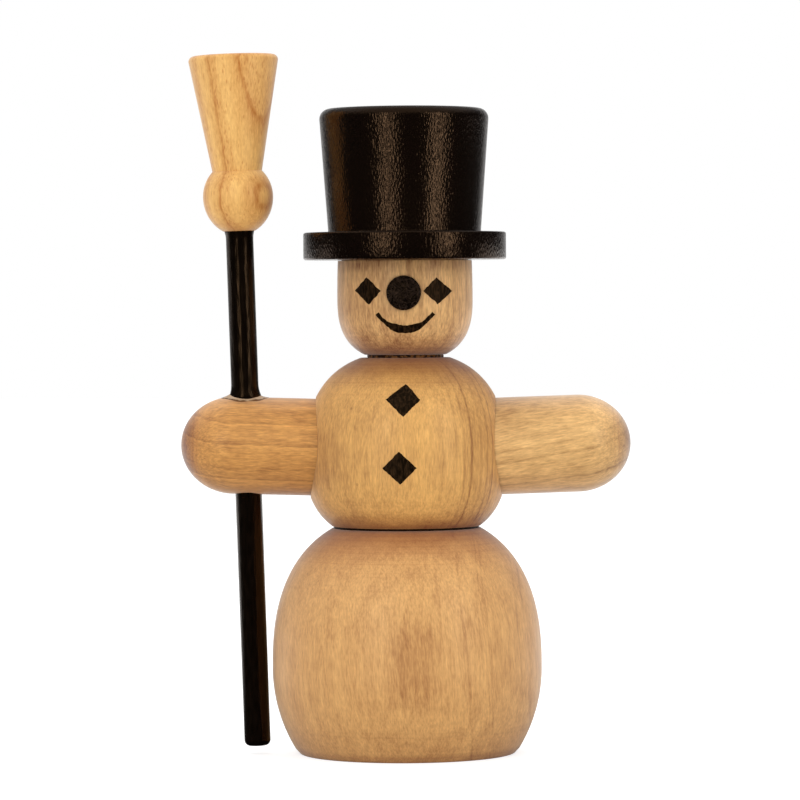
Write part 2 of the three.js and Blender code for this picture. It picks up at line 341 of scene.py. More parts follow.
    # End grain: where the surface is cut across the fibres.
    facing = add_node(tree, "ShaderNodeVectorMath", {
        0: place.outputs["Normal"], 1: grain,
    }, operation="DOT_PRODUCT")
    square = add_node(tree, "ShaderNodeMath", {0: facing.outputs["Value"]}, operation="ABSOLUTE")
    across = add_node(tree, "ShaderNodeMapRange", {
        "Value": square.outputs[0], "From Min": 0.45, "From Max": 1.0, "To Max": 0.75,
    }, interpolation_type="SMOOTHSTEP")
    pale = add_node(tree, "ShaderNodeMix", {
        0: across.outputs[0], 6: linear(early), 7: linear(end),
    }, data_type="RGBA")
    wood = add_node(tree, "ShaderNodeMix", {
        0: dark.outputs[0], 6: pale.outputs[2], 7: linear(late),
    }, data_type="RGBA", clamp_factor=False)

    # Pores: short dark dashes along the grain, dots across it, and crowded where the ring is
    # open. They are drawn 0.34 mm wide, as real ones of 0.1 to 0.3 mm would hardly show.
    pore_place = add_node(tree, "ShaderNodeVectorMath", {
        0: grown.outputs[0], 1: per_mm(0.34, 1.5),
    }, operation="MULTIPLY")
    cells = add_node(tree, "ShaderNodeTexVoronoi", {"Vector": pore_place.outputs[0], "Scale": 1.0})
    cell = add_node(tree, "ShaderNodeSeparateColor", {"Color": cells.outputs["Color"]})
    crowd = add_node(tree, "ShaderNodeMath", {
        0: ring.outputs["Green"], 1: 0.9, 2: 0.12,
    }, operation="MULTIPLY_ADD")
    present = add_node(tree, "ShaderNodeMath", {
        0: cell.outputs["Red"], 1: crowd.outputs[0],
    }, operation="LESS_THAN")
    round_pore = add_node(tree, "ShaderNodeMapRange", {
        "Value": cells.outputs["Distance"], "From Min": 0.5, "From Max": 0.15,
    }, interpolation_type="SMOOTHSTEP")
    pore = add_node(tree, "ShaderNodeMath", {
        0: round_pore.outputs[0], 1: present.outputs[0],
    }, operation="MULTIPLY")

    # The last cuts of the lathe, fine rings that show where end grain begins.
    tool = add_node(tree, "ShaderNodeTexNoise", {
        "W": lathe.outputs["Value"], "Scale": 1.7, "Detail": 3.0, "Roughness": 0.7,
    }, noise_dimensions="1D")
    cut = add_node(tree, "ShaderNodeMapRange", {
        "Value": tool.outputs["Fac"], "From Min": 0.5, "From Max": 0.7,
    })
    steep = add_node(tree, "ShaderNodeMapRange", {
        "Value": square.outputs[0], "From Min": 0.3, "From Max": 0.7,
        "To Min": marks * 0.15, "To Max": marks,
    }, interpolation_type="SMOOTHSTEP")
    cut_here = add_node(tree, "ShaderNodeMath", {
        0: cut.outputs[0], 1: steep.outputs[0],
    }, operation="MULTIPLY")

    # Pores and cuts are darker, and lie a few hundredths of a millimetre deep.
    dents = add_node(tree, "ShaderNodeMath", {
        0: pore.outputs[0], 1: pores, 2: cut_here.outputs[0],
    }, operation="MULTIPLY_ADD", use_clamp=True)
    colour = add_node(tree, "ShaderNodeMix", {
        0: dents.outputs[0], 6: wood.outputs[2], 7: linear("#d9a86e"),
    }, data_type="RGBA", blend_type="MULTIPLY")
    tree.links.new(colour.outputs[2], shader.inputs["Base Color"])
    shader.inputs["Sheen Weight"].default_value = sheen

    gloss = add_node(tree, "ShaderNodeMapRange", {
        "Value": bundle.outputs["Fac"], "From Min": 0.3, "From Max": 0.7,
        "To Min": roughness - 0.06, "To Max": roughness + 0.06,
    })
    tree.links.new(gloss.outputs[0], shader.inputs["Roughness"])
    height = add_node(tree, "ShaderNodeMath", {
        0: dents.outputs[0], 1: -2.0, 2: fine.outputs["Fac"],
    }, operation="MULTIPLY_ADD")
    relief = add_node(tree, "ShaderNodeBump", {
        "Height": height.outputs[0], "Strength": 0.5, "Distance": 0.02 * MM,
    })
    tree.links.new(relief.outputs[0], shader.inputs["Normal"])
    return material


base_alder = turned_wood(
    "turned_alder_base", early="#e4ac66", late="#a3632b", end="#9a5000",
    centre=Vector((0, 0, base_widest)), out=Vector((0.06, -1, 0)), grain=Vector((-0.07, 0, 1)),
    reach=27, pith=-60, wander=1.1,
    years=[
        (-27, 0.25, 0), (-14, 0.2, 0), (-2, 0.2, 0), (1.4, 0.12, 0), (1.8, 0.3, 0), (2.2, 0.12, 0),
        (6.9, 0.2, 0), (11.2, 0.14, 0), (12.6, 0.2, 0), (15.0, 0.1, 0), (16.6, 0.2, 0),
        (17.8, 0.1, 0), (19.4, 0.04, 0), (20.4, 0.14, 0), (21.4, 0.16, 0), (22.2, 0.07, 0),
        (23.2, 0.08, 0), (24.2, 0.12, 0), (27, 0.13, 0),
    ],
    rays=[
        (1.9, 0, 0), (2.2, 0.1, 0), (2.5, 0, 0), (5.1, 0, 0), (5.4, 0.3, 0), (5.7, 0, 0),
        (9.2, 0, 0), (9.4, 0.04, 0), (9.6, 0.6, 0), (9.8, 0.04, 0), (10.3, 0, 0), (12.3, 0, 0),
        (12.5, 0.2, 0), (12.7, 0, 0), (12.9, 0, 0), (13.1, 0.42, 0), (13.3, 0.02, 0),
        (13.6, 0.02, 0), (13.8, 0.45, 0), (14.0, 0, 0), (19.6, 0, 0), (19.85, 0.3, 0), (20.1, 0, 0),
        (21.0, 0, 0), (21.3, 0.36, 0), (21.6, 0, 0),
    ],
    # Besides the lathe's lines, the band that rises from 23.4 mm to the top, and the dark end colour,
    # are partly painted shade under the torso.
    cuts_and_shade=[
        (-16, 0.2, 0), (-14.4, 0.16, 0), (-14.1, 0, 0), (-13.8, 0.08, 0), (-11.4, 0.02, 0),
        (-11.1, 0.2, 0), (-10.9, 0.02, 0), (-10.4, 0.08, 0), (-10.1, 0, 0), (20.9, 0, 0),
        (21.2, 0.16, 0), (21.5, 0.02, 0), (21.9, 0.04, 0), (22.2, 0.24, 0), (22.4, 0.04, 0),
        (22.9, 0.08, 0), (23.2, 0.34, 0), (23.4, 0.12, 0), (23.8, 0.3, 0), (24.3, 0.44, 0),
        (26, 0.6, 0),
    ],
    fibre=0.28, cloud=0.12,
)
base_equator = (base_radius, base_widest)
base_below = swelling(base_equator, (foot_radius, 0), base_fullness_below)
base_above = swelling(base_equator, (waist_radius, base_top - waist_step), base_fullness_above)
base_outline = [
    (0, 0),
    *rounding(foot_radius - foot_rounding, foot_rounding, foot_rounding, -90, -30),
    *[ring for ring in reversed(base_below) if ring[1] > foot_rounding],
    *base_above[1:],
    (waist_radius - waist_inset, base_top - waist_step),
    (waist_radius - waist_inset, base_top),
    (0, base_top),
]
finish_piece(turned(base_outline, ball_facets), "base_ball", base_alder, "figure", "base")


# ------------------------------------------------------------------ torso
# The middle ball, turned from alder too. Each flank is bored flat-bottomed for an arm, a
# little wider than the arm itself, so a thin line of shadow runs round the shoulder.

torso_low, torso_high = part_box("torso")
torso_radius = (torso_high.y - torso_low.y) / 2
torso_bottom = torso_low.z
torso_top = torso_high.z
torso_widest = torso_bottom + 13 * MM
torso_fullness_below = 2.6
torso_fullness_above = 2.45
neck_radius = 7.1 * MM
neck_core = 6.7 * MM
neck_ledge = 8.3 * MM
neck_lip = 0.36 * MM
ledge_edge = 0.1 * MM
shoulder = {joint["name"]: joint for joint in frame["joints"]}
arm_crossing = Vector(shoulder["free_shoulder"]["pos_m"])
free_axis = Vector(shoulder["free_shoulder"]["axis"]).normalized()
broom_axis = -Vector(shoulder["broom_shoulder"]["axis"]).normalized()
arm_radius = 9 * MM
socket_radius = 9.3 * MM
socket_lip = 0.9 * MM
socket_floor = math.sqrt(torso_radius**2 - arm_radius**2) - socket_lip
socket_facets = 128


def lay_along(mesh, axis, start):
    """Turns a mesh made on +Z onto an axis, and moves it to where that axis starts."""
    turn = UP.rotation_difference(axis).to_matrix().to_4x4()
    bmesh.ops.transform(mesh, matrix=Matrix.Translation(start) @ turn, verts=mesh.verts)
    return mesh


def bore(piece, *drills):
    """Cuts holes in a finished piece with closed meshes of the drills' shape."""
    for drill in drills:
        data = bpy.data.meshes.new("drill")
        drill.to_mesh(data)
        drill.free()
        tool = bpy.data.objects.new("drill", data)
        bpy.context.scene.collection.objects.link(tool)
        cut = piece.modifiers.new("bore", "BOOLEAN")
        cut.operation = "DIFFERENCE"
        cut.solver = "EXACT"
        cut.object = tool
        depsgraph = bpy.context.evaluated_depsgraph_get()
        bored = bpy.data.meshes.new_from_object(piece.evaluated_get(depsgraph))
        piece.modifiers.clear()
        piece.data = bored
        bpy.data.objects.remove(tool)
    piece.data.shade_smooth()
    piece.data.set_sharp_from_angle(angle=real_edge)


torso_alder = turned_wood(
    "turned_alder_torso", early="#e3aa5c", late="#8c501c", end="#824306",
    centre=Vector((0, 0, torso_widest)), out=Vector((-0.89, -0.45, 0)), grain=Vector((0.02, 0, 1)),
    reach=21, pith=55, wander=0.9,
    years=[
        (-21, 0.4, 0), (-10.6, 0.34, 0), (-10.3, 0.62, 0), (-9.9, 0.32, 0), (-7.2, 0.3, 0),
        (-6.9, 0.75, 0), (-6.6, 0.32, 0), (-5.6, 0.3, 0), (-5.3, 0.66, 0), (-4.9, 0.3, 0),
        (-3.7, 0.26, 0), (-3.4, 0.46, 0), (-3.0, 0.22, 0), (-1.4, 0.24, 0), (-1.0, 0.8, 0),
        (-0.7, 0.2, 0), (0.2, 0.18, 0), (0.5, 0.4, 0), (0.8, 0.12, 0), (1.7, 0.1, 0),
        (2.1, 0.24, 0), (2.5, 0.06, 0), (4.4, 0.04, 0), (4.8, 0.16, 0), (5.2, 0.02, 0), (9, 0.0, 0),
        (14.7, 0.12, 0), (17.6, 0.2, 0), (21, 0.3, 0),
    ],
    # Besides the lathe's lines, the bands at -13 mm and from 17.4 mm to the top, with the dark end
    # colour, are partly painted shade over the base and under the head.
    cuts_and_shade=[
        (-13, 0.7, 0), (-12.0, 0.4, 0), (-10.8, 0.2, 0), (-9.5, 0.0, 0), (15.0, 0, 0),
        (16.3, 0.2, 0), (16.6, 0.34, 0), (16.9, 0.22, 0), (17.4, 0.3, 0), (17.8, 0.7, 0),
        (21, 0.9, 0),
    ],
    flecks=[((-9.0, -16.3, 50.5), 0.45), ((15.2, -6.4, 66.4), 0.5), ((-9.9, -14.3, 64.3), 0.35)],
    fibre=0.24, cloud=0.12, sheen=0.2, seed=4.0,
)
torso_equator = (torso_radius, torso_widest)
torso_below = swelling(
    torso_equator, (waist_radius, torso_bottom + waist_step), torso_fullness_below,
)
torso_above = swelling(torso_equator, (neck_radius, torso_top), torso_fullness_above)
torso_outline = [
    (0, torso_bottom),
    (waist_radius - waist_inset, torso_bottom),
    (waist_radius - waist_inset, torso_bottom + waist_step),
    *reversed(torso_below),
    *[ring for ring in torso_above[1:] if ring[0] > neck_ledge + ledge_edge],
    (neck_ledge, torso_top - neck_lip),
    (neck_core, torso_top - neck_lip),
    (neck_core, torso_top),
    (0, torso_top),
]
torso = finish_piece(
    turned(torso_outline, ball_facets), "torso_ball", torso_alder, "figure", "torso",
)
socket_outline = [
    (0, socket_floor),
    (socket_radius, socket_floor),
    (socket_radius, torso_radius * 2),
    (0, torso_radius * 2),
]
socket_drills = [
    lay_along(turned(socket_outline, socket_facets), axis, arm_crossing)
    for axis in (free_axis, broom_axis)
]
bore(torso, *socket_drills)


# ------------------------------------------------------------------ buttons
# Two diamonds brushed on the torso in black lacquer through a mask. The film is a few
# hundredths of a millimetre thick, and its edges and corners run a little.

paint_thickness = 0.04 * MM
paint_run = 0.12 * MM
paint_run_length = 0.55 * MM
upper_button = [(0.05, 68.8), (2.65, 65.9), (-0.5, 62.8), (-3.6, 66.0)]
lower_button = [(-1.35, 56.55), (1.92, 53.55), (-1.1, 50.5), (-4.35, 53.55)]
# Without a seed, noise_vector would follow the clock, and the paint would run otherwise each time.
noise.seed_set(1)


def brushed_lacquer(name, colour, stroke=(0.34, 1.3), swirl=0.6, roughness=0.42, ridge=0.5):
    """Black lacquer brushed on with a fine brush: brown-black, with faint streaks of bristles.

    stroke is a streak's width and length in millimetres, swirl how far it wanders, and ridge
    how high it stands.
    """
    material, tree, shader = new_material(name)
    place = add_node(tree, "ShaderNodeTexCoord")
    bristle_place = add_node(tree, "ShaderNodeVectorMath", {
        0: place.outputs["Object"], 1: Vector(per_mm(*stroke)) / MM,
    }, operation="MULTIPLY")
    bristles = add_node(tree, "ShaderNodeTexNoise", {
        "Vector": bristle_place.outputs[0], "Scale": 1.0, "Detail": 2.0, "Distortion": swirl,
    })
    tone = add_node(tree, "ShaderNodeMapRange", {
        "Value": bristles.outputs["Fac"], "From Min": 0.42, "From Max": 0.68,
        "To Min": 0.35, "To Max": 3.6,
    })
    film = add_node(tree, "ShaderNodeVectorMath", {
        0: linear(colour)[:3], "Scale": tone.outputs[0],
    }, operation="SCALE")
    tree.links.new(film.outputs[0], shader.inputs["Base Color"])
    relief = add_node(tree, "ShaderNodeBump", {
        "Height": bristles.outputs["Fac"], "Strength": ridge, "Distance": 0.12 * MM,
    })
    tree.links.new(relief.outputs[0], shader.inputs["Normal"])
    shader.inputs["Roughness"].default_value = roughness
    shader.inputs["Specular Tint"].default_value = linear("#c99f74")
    shader.inputs["Specular IOR Level"].default_value = 0.35
    return material


def radius_at(outline, height):
    """Radius of a turned piece at a height, between the two rings of its outline around it."""
    for (radius, low), (next_radius, high) in zip(outline, outline[1:]):
        if low <= height <= high and high > low:
            return radius + (next_radius - radius) * (height - low) / (high - low)
    return 0


def diamond(corners):
    """Place on a diamond's face, from its top, right, bottom and left corners in millimetres."""
    top, right, bottom, left = [Vector(corner) for corner in corners]

    def place(across, along):
        one, other = (across + 1) / 2, (along + 1) / 2
        upper = top.lerp(right, one)
        lower = left.lerp(bottom, one)
        return upper.lerp(lower, other)

    return place


def paint(name, place, outline, body, material, across=18, along=18, seed=0):
    """A closed film of paint on the front of a turned piece."""
    mesh = bmesh.new()
    bmesh.ops.create_grid(mesh, x_segments=across, y_segments=along, size=1)
    for corner in mesh.verts:
        spot = place(corner.co.x, corner.co.y) * MM
        run = noise.noise_vector(Vector((spot.x, spot.y, seed * MM)) / paint_run_length) * paint_run
        rim = max(abs(corner.co.x), abs(corner.co.y)) ** 4
        x = spot.x + run.x * rim
        z = spot.y + run.y * rim
        radius = radius_at(outline, z) + paint_thickness
        corner.co = (x, -math.sqrt(radius**2 - x**2), z)
    bmesh.ops.recalc_face_normals(mesh, faces=mesh.faces)
    if sum(face.normal.y for face in mesh.faces) > 0:
        bmesh.ops.reverse_faces(mesh, faces=mesh.faces)
    bmesh.ops.solidify(mesh, geom=mesh.faces[:], thickness=paint_thickness * 2)
    bmesh.ops.recalc_face_normals(mesh, faces=mesh.faces)
    return finish_piece(mesh, name, material, body)


button_paint = brushed_lacquer("brushed_black_lacquer_buttons", "#180f07", roughness=0.38)
paint("button_upper", diamond(upper_button), torso_outline, "figure", button_paint, seed=1)
paint("button_lower", diamond(lower_button), torso_outline, "figure", button_paint, seed=2)


# ------------------------------------------------------------------ head
# The small ball, turned from alder, with its top cut off for the hat. A shallow groove is
# left where it meets the torso, and a blind hole is drilled in front for the nose.

head_low, head_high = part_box("head")
head_radius = (head_high.x - head_low.x) / 2
head_bottom = head_low.z
head_top = head_high.z
head_widest = head_bottom + 10.75 * MM
head_fullness_below = 2.67
head_fullness_above = 2.0
head_top_radius = 12.425 * MM
brim_step = 0.15 * MM
brim_inset = 0.7 * MM
chin_ledge = 7.5 * MM
chin_lip = 0.2 * MM
nose_low, nose_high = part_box("nose_peg")
nose_radius = (nose_high.x - nose_low.x) / 2
nose_height = (nose_high.z + nose_low.z) / 2
nose_middle = Vector((-0.25 * MM, 0, nose_height))
nose_hole_radius = nose_radius + 0.05 * MM
nose_hole_floor = 7.95 * MM
peg_facets = 96
forward = Vector((0, -1, 0))

head_alder = turned_wood(
    "turned_alder_head", early="#e0ad6c", late="#8a4f1e", end="#985516",
    centre=Vector((0, 0, head_widest)), out=Vector((-0.75, -0.66, 0)), reach=15, pith=45, wander=1.0,
    years=[
        (-15, 0.1, 0), (-11.2, 0.05, 0), (-10.9, 0.3, 0), (-10.5, 0.04, 0), (-7.4, 0.05, 0),
        (-7.1, 0.25, 0), (-6.8, 0.04, 0), (-3.6, 0.06, 0), (-3.3, 0.3, 0), (-2.9, 0.06, 0),
        (0.4, 0.16, 0), (0.8, 0.3, 0), (1.2, 0.08, 0), (4.6, 0.18, 0), (5, 0.3, 0),
        (5.4, 0.1, 0), (8.4, 0.24, 0), (8.8, 0.38, 0), (9.2, 0.16, 0), (12.5, 0.36, 0),
    ],
    # The dark bands at the chin and from 6 mm up, with the dark end colour, are partly painted shade
    # over the torso and under the hat's brim.
    cuts_and_shade=[
        (-11, 0.45, 0), (-8.5, 0.25, 0), (-6, 0.04, 0), (-5, 0, 0), (4.6, 0, 0), (6.0, 0.3, 0),
        (7, 0.45, 0),
    ],
    fibre=0.34, cloud=0.18, seed=9.0,
)
head_equator = (head_radius, head_widest)
head_below = swelling(head_equator, (neck_radius, head_bottom), head_fullness_below)
head_above = swelling(head_equator, (head_top_radius, head_top - brim_step), head_fullness_above)
head_outline = [
    (0, head_bottom),
    (neck_core, head_bottom),
    (neck_core, head_bottom + chin_lip),
    (chin_ledge, head_bottom + chin_lip),
    *[ring for ring in reversed(head_below) if ring[0] > chin_ledge + ledge_edge],
    *head_above[1:],
    (head_top_radius - brim_inset, head_top - brim_step),
    (head_top_radius - brim_inset, head_top),
    (0, head_top),
]
head = finish_piece(
    turned(head_outline, ball_facets), "head_ball", head_alder, "figure", "head",
)
nose_drill_outline = [
    (0, nose_hole_floor),
    (nose_hole_radius, nose_hole_floor),
    (nose_hole_radius, head_radius * 2),
    (0, head_radius * 2),
]
bore(head, lay_along(turned(nose_drill_outline, peg_facets), forward, nose_middle))


# ------------------------------------------------------------------ neck glue, and painted shade at the waist
# Head, torso and base are pegged and glued together. Hardened amber wood glue sits in the groove
# under the head, in lumps that catch the light here and there, with near-black painted shade
# between them. At the waist a thin near-black ring fills the gap: painted shade where the torso
# meets the base.

groove_low = torso_top - neck_lip
groove_high = head_bottom + chin_lip
glue_radius = 7.02 * MM
glue_bulge = 0.08 * MM
glue_skin = 0.1 * MM
glue_lumps = 0.16 * MM
lump_size = 0.8 * MM
glue_inner = neck_core - 0.2 * MM
glue_facets = 240
waist_shade_depth = 0.3 * MM
waist_shade_inner = waist_radius - waist_inset - 0.2 * MM
waist_shade_outer = waist_radius - waist_shade_depth


def wood_glue(name, clear, darker_colour, roughness=0.3):
    """Hardened white wood glue: clear amber and glossy, mixed in patches with a darker colour, which is
    painted shade where the glue fills a groove.
    """
    material, tree, shader = new_material(name)
    place = add_node(tree, "ShaderNodeTexCoord")
    lumps = add_node(tree, "ShaderNodeTexNoise", {
        "Vector": place.outputs["Object"], "Scale": 1 / (0.7 * MM), "Detail": 3.0,
    })
    # Where the lumps' noise is low the darker colour shows; in the neck's groove that is painted shade.
    darker_share = add_node(tree, "ShaderNodeMapRange", {
        "Value": lumps.outputs["Fac"], "From Min": 0.45, "From Max": 0.62,
    }, interpolation_type="SMOOTHSTEP")
    colour = add_node(tree, "ShaderNodeMix", {
        0: darker_share.outputs[0], 6: linear(darker_colour), 7: linear(clear),
    }, data_type="RGBA")
    tree.links.new(colour.outputs[2], shader.inputs["Base Color"])
    relief = add_node(tree, "ShaderNodeBump", {
        "Height": lumps.outputs["Fac"], "Strength": 0.6, "Distance": 0.2 * MM,
    })
    tree.links.new(relief.outputs[0], shader.inputs["Normal"])
    shader.inputs["Roughness"].default_value = roughness
    shader.inputs["Specular Tint"].default_value = linear("#c99f74")
    return material


neck_glue_outline = [
    (glue_inner, groove_low),
    (glue_radius, groove_low),
    (glue_radius + glue_bulge, (groove_low + groove_high) / 2),
    (glue_radius, groove_high),
    (glue_inner, groove_high),
    (glue_inner, groove_low),
]
neck_glue = turned(neck_glue_outline, glue_facets)
for corner in neck_glue.verts:
    outwards = Vector((corner.co.x, corner.co.y, 0)).normalized()
    if corner.co.xy.length > glue_radius - glue_skin:
        corner.co += outwards * noise.noise(corner.co / lump_size) * glue_lumps
# Between the amber lumps the glue is near black: painted shade in the groove under the head.
finish_piece(
    neck_glue, "neck_glue", wood_glue("wood_glue_and_painted_shade_neck", "#80532a", "#22120a", roughness=0.5),
    "figure",
)
# The waist's ring is painted shade: a near-black sheet in the gap between torso and base.
waist_shade_outline = [
    (waist_shade_inner, base_top - waist_step),
    (waist_shade_outer, base_top - waist_step),
    (waist_shade_outer, base_top + waist_step),
    (waist_shade_inner, base_top + waist_step),
    (waist_shade_inner, base_top - waist_step),
]
finish_piece(
    turned(waist_shade_outline, ball_facets), "waist_painted_shade",
    wood_glue("painted_shade_waist", "#22140b", "#120a05", roughness=0.6), "figure",
)


# ------------------------------------------------------------------ nose
# A short peg of beech, its domed end dipped in black lacquer, pushed into the head's hole.
# The lacquer lies in faint swirls on the end, and is glossier than the brushed paint.

nose_inner = -nose_high.y
nose_outer = -nose_low.y
nose_dome = 0.3 * MM
nose_dome_width = 0.92
nose_rim = 0.4 * MM
nose_outline = [
    (0, nose_inner),
    (nose_radius, nose_inner),
    *rounding(nose_radius - nose_rim, nose_outer - nose_dome - nose_rim, nose_rim, 0, 75),
    *[(nose_radius * share * nose_dome_width, nose_outer - nose_dome * share**2)
      for share in (0.9, 0.75, 0.6, 0.45, 0.3, 0.15)],
    (0, nose_outer),
]
nose_lacquer = brushed_lacquer(
    "dipped_black_lacquer_nose", "#130d0a", stroke=(1.1, 1.1), swirl=2.6, roughness=0.22, ridge=2.0,
)
finish_piece(
    lay_along(turned(nose_outline, peg_facets), forward, nose_middle), "nose_end", nose_lacquer,
    "figure", "nose_peg",
)


# ------------------------------------------------------------------ eyes and mouth
# Two diamonds and a smile, brushed on the head in the same black lacquer as the buttons.

left_eye = [(-7.05, 88.28), (-4.45, 85.7), (-6.65, 83.2), (-9.18, 85.85)]
right_eye = [(5.75, 88.15), (8.65, 85.65), (6.05, 83.2), (3.35, 85.65)]
mouth_half_width = 5.2
mouth_corners = 81.6
mouth_drop = 2.9
mouth_thin = 0.7
mouth_thick = 1.4
mouth_curve = 2.2
mouth_even_share = 0.35
mouth_taper_share = 0.35


def smile(across, along):
    """Place on the mouth, a curved stroke that is thick in the middle and thin at its ends."""
    share = min(max((abs(across) - mouth_even_share) / mouth_taper_share, 0), 1)
    thin = share**2 * (3 - 2 * share)
    thickness = mouth_thick + (mouth_thin - mouth_thick) * thin
    middle = mouth_corners - mouth_drop * (1 - abs(across) ** mouth_curve)
    slope = mouth_drop * mouth_curve * abs(across) ** (mouth_curve - 1) / mouth_half_width
    rise = math.atan(slope)
    offset = Vector((-math.copysign(math.sin(rise), across), math.cos(rise))) * along * thickness / 2
    return Vector((across * mouth_half_width, middle)) + offset


face_paint = brushed_lacquer("brushed_black_lacquer_face", "#180e06", roughness=0.4)
paint("eye_left", diamond(left_eye), head_outline, "figure", face_paint, seed=3)
paint("eye_right", diamond(right_eye), head_outline, "figure", face_paint, seed=4)
paint("mouth", smile, head_outline, "figure", face_paint, across=60, along=8, seed=5)


# ------------------------------------------------------------------ hat
# A top hat turned in one piece, brim and crown, from open-grained wood and sprayed with
# black-brown lacquer. The lacquer sinks into the grain, so every highlight is speckled.

hat_low, hat_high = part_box("hat")
brim_radius = (hat_high.x - hat_low.x) / 2
hat_bottom = hat_low.z
hat_top = hat_high.z
brim_top = hat_bottom + 5.1 * MM
brim_rounding = 0.4 * MM
crown_bottom_radius = 14.175 * MM
crown_top_radius = 15.675 * MM
crown_rounding = 1.9 * MM
crown_foot = 0.35 * MM


def sprayed_lacquer(
    name, colour, tint, centre, axis=UP, speckle=(0.28, 0.6), depth=0.066, roughness=0.2, seed=0.0,
):
    """Black-brown lacquer sprayed on open-grained wood.

    It is nearly black where no lamp shows in it. The grain underneath, in dashes as wide and
    as long as speckle says in millimetres, breaks each highlight into brown and grey specks.
    The real dashes are partly finer than these, which are as coarse as they need be to show.
    """
    material, tree, shader = new_material(name)
    place = add_node(tree, "ShaderNodeTexCoord")
    turn = axis.rotation_difference(UP).to_matrix()
    wood = add_node(tree, "ShaderNodeMapping", {
        "Vector": place.outputs["Object"],
        "Location": turn @ (-centre / MM),
        "Rotation": turn.to_euler(),
        "Scale": (1 / MM, 1 / MM, 1 / MM),
    }).outputs[0]
    dash_place = add_node(tree, "ShaderNodeVectorMath", {
        0: wood, 1: per_mm(*speckle), 2: (seed, seed, seed),
    }, operation="MULTIPLY_ADD")
    dashes = add_node(tree, "ShaderNodeTexNoise", {
        "Vector": dash_place.outputs[0], "Scale": 1.0, "Detail": 0.4, "Roughness": 0.5,
    })
    wave_place = add_node(tree, "ShaderNodeVectorMath", {
        0: wood, 1: per_mm(2.4, 9),
    }, operation="MULTIPLY")
    waves = add_node(tree, "ShaderNodeTexNoise", {
        "Vector": wave_place.outputs[0], "Scale": 1.0, "Detail": 2.0,
    })
    tone = add_node(tree, "ShaderNodeMapRange", {
        "Value": dashes.outputs["Fac"], "From Min": 0.35, "From Max": 0.7, "To Min": 0.5, "To Max": 1.7,
    })
    film = add_node(tree, "ShaderNodeVectorMath", {
        0: linear(colour)[:3], "Scale": tone.outputs[0],
    }, operation="SCALE")
    tree.links.new(film.outputs[0], shader.inputs["Base Color"])
    gloss = add_node(tree, "ShaderNodeMapRange", {
        "Value": dashes.outputs["Fac"], "From Min": 0.42, "From Max": 0.6,
        "To Min": roughness + 0.04, "To Max": roughness - 0.06,
    })
    tree.links.new(gloss.outputs[0], shader.inputs["Roughness"])
    height = add_node(tree, "ShaderNodeMath", {
        0: waves.outputs["Fac"], 1: 0.9, 2: dashes.outputs["Fac"],
    }, operation="MULTIPLY_ADD")
    relief = add_node(tree, "ShaderNodeBump", {
        "Height": height.outputs[0], "Strength": 1.0, "Distance": depth * MM,
    })
    tree.links.new(relief.outputs[0], shader.inputs["Normal"])
    shader.inputs["Specular Tint"].default_value = linear(tint)
    return material


hat_outline = [
    (0, hat_bottom),
    *rounding(brim_radius - brim_rounding, hat_bottom + brim_rounding, brim_rounding, -90, 0),
    *rounding(brim_radius - brim_rounding, brim_top - brim_rounding, brim_rounding, 0, 90),
    (crown_bottom_radius + crown_foot, brim_top),
    (crown_bottom_radius + crown_foot * 0.3, brim_top + crown_foot * 0.3),
    (crown_bottom_radius, brim_top + crown_foot),
    *rounding(crown_top_radius - crown_rounding, hat_top - crown_rounding, crown_rounding, 0, 90, 10),
    (0, hat_top),
]
hat_lacquer = sprayed_lacquer(
    "sprayed_black_lacquer_hat", "#080403", "#ffc999", Vector((0, 0, hat_bottom)),
)
finish_piece(
    turned(hat_outline, ball_facets), "top_hat", hat_lacquer, "figure", "hat",
)


# ------------------------------------------------------------------ hidden dowels
# Beech dowels hold the balls, the hat and the arms. They show only if a joint is pulled
# apart: bare pale beech, matt and with clear pores, because it has no lacquer.

bare_beech = turned_wood(
    "bare_beech_dowel", early="#cba57d", late="#a97c52", end="#a87d55",
    centre=Vector((0, 0, 0)), out=Vector((0, -1, 0)), reach=60, pith=90, wander=1.0,
    years=[(-60, 0.1, 0), (-20, 0.35, 0), (0, 0.15, 0), (20, 0.4, 0), (60, 0.1, 0)],
    pores=0.6, roughness=0.6, seed=12.0,
)
for name in ("waist_dowel", "neck_dowel", "hat_dowel", "broom_arm_dowel", "free_arm_dowel"):
    dowel = frame["nodes"][name]
    for place in range(len(dowel.data.materials)):
        dowel.material_slots[place].material = bare_beech


# ------------------------------------------------------------------ free arm
# A round rod with a domed tip, turned from a paler piece of wood than the body, with its
# dark lines rising towards the tip. It turns stiffly in the torso on its hidden dowel.

